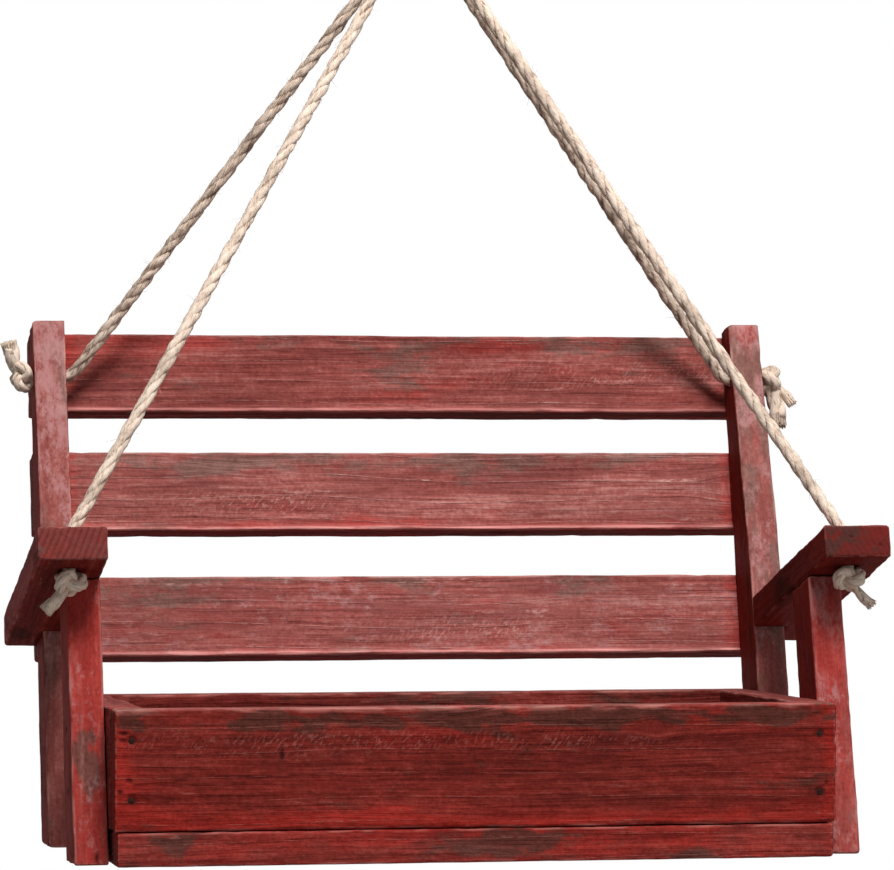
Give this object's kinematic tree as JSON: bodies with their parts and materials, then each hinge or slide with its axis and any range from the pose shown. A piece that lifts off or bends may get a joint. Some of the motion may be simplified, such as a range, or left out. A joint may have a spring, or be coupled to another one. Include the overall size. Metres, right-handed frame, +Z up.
{
  "type": "porch swing",
  "caption": "Small hanging porch swing with a planter box for its seat, a slatted back, armrests and ropes that meet at a ring on a ceiling hook.",
  "frame": {"origin": "on the ceiling, where the hook's screw goes in", "axes": "+Z up along the hook's screw, +X towards the right-hand armrest as seen from the front, +Y towards the swing's back; the swing hangs at rest, 5.3 degrees nose down"},
  "size_m": [0.4782, 0.2601, 0.6849],
  "materials": {
    "red_wood": "worn red wash on weathered lumber, matt",
    "rope": "twisted natural fibre, dry and fuzzy",
    "zinc_steel": "zinc plated, satin",
    "nail_steel": "dull and rusty"
  },
  "bodies": {
    "hook": {"ceiling_hook": "zinc_steel"},
    "ring": {"hanging_ring": "zinc_steel"},
    "swing": {"armrest_left": "red_wood", "armrest_right": "red_wood", "back_post_left": "red_wood", "back_post_right": "red_wood", "back_slat_top": "red_wood", "back_slat_middle": "red_wood", "back_slat_bottom": "red_wood", "floor_board": "red_wood", "front_leg_left": "red_wood", "front_leg_right": "red_wood", "front_panel": "red_wood", "rear_panel": "red_wood", "side_panel_left": "red_wood", "side_panel_right": "red_wood", "armrest_nail_1": "nail_steel", "armrest_nail_2": "nail_steel", "armrest_nail_3": "nail_steel", "armrest_nail_4": "nail_steel", "armrest_nail_5": "nail_steel", "armrest_nail_6": "nail_steel", "floor_nail_1": "nail_steel", "floor_nail_2": "nail_steel", "floor_nail_3": "nail_steel", "floor_nail_4": "nail_steel", "leg_nail_1": "nail_steel", "leg_nail_2": "nail_steel", "leg_nail_3": "nail_steel", "leg_nail_4": "nail_steel", "panel_nail_1": "nail_steel", "panel_nail_2": "nail_steel", "panel_nail_3": "nail_steel", "panel_nail_4": "nail_steel", "panel_nail_5": "nail_steel", "panel_nail_6": "nail_steel", "panel_nail_7": "nail_steel", "panel_nail_8": "nail_steel", "post_nail_1": "nail_steel", "post_nail_2": "nail_steel", "post_nail_3": "nail_steel", "post_nail_4": "nail_steel", "slat_nail_1": "nail_steel", "slat_nail_2": "nail_steel", "slat_nail_3": "nail_steel", "slat_nail_4": "nail_steel", "slat_nail_5": "nail_steel", "slat_nail_6": "nail_steel", "rope_front_left": "rope", "rope_front_right": "rope", "rope_back_left": "rope", "rope_back_right": "rope", "rope_loop_left": "rope", "rope_loop_right": "rope", "knot_front_left": "rope", "knot_front_right": "rope", "knot_back_left": "rope", "knot_back_right": "rope", "rope_binding": "rope"}
  },
  "joints": [
    {"name": "side_sway", "type": "hinge", "parent": "hook", "child": "ring", "pos_m": [0, 0, -0.03829], "axis": [0, 1, 0], "range_deg": [-15, 15]},
    {"name": "front_back_swing", "type": "hinge", "parent": "ring", "child": "swing", "pos_m": [0, 0, -0.06499], "axis": [1, 0, 0], "range_deg": [-25, 25]}
  ]
}
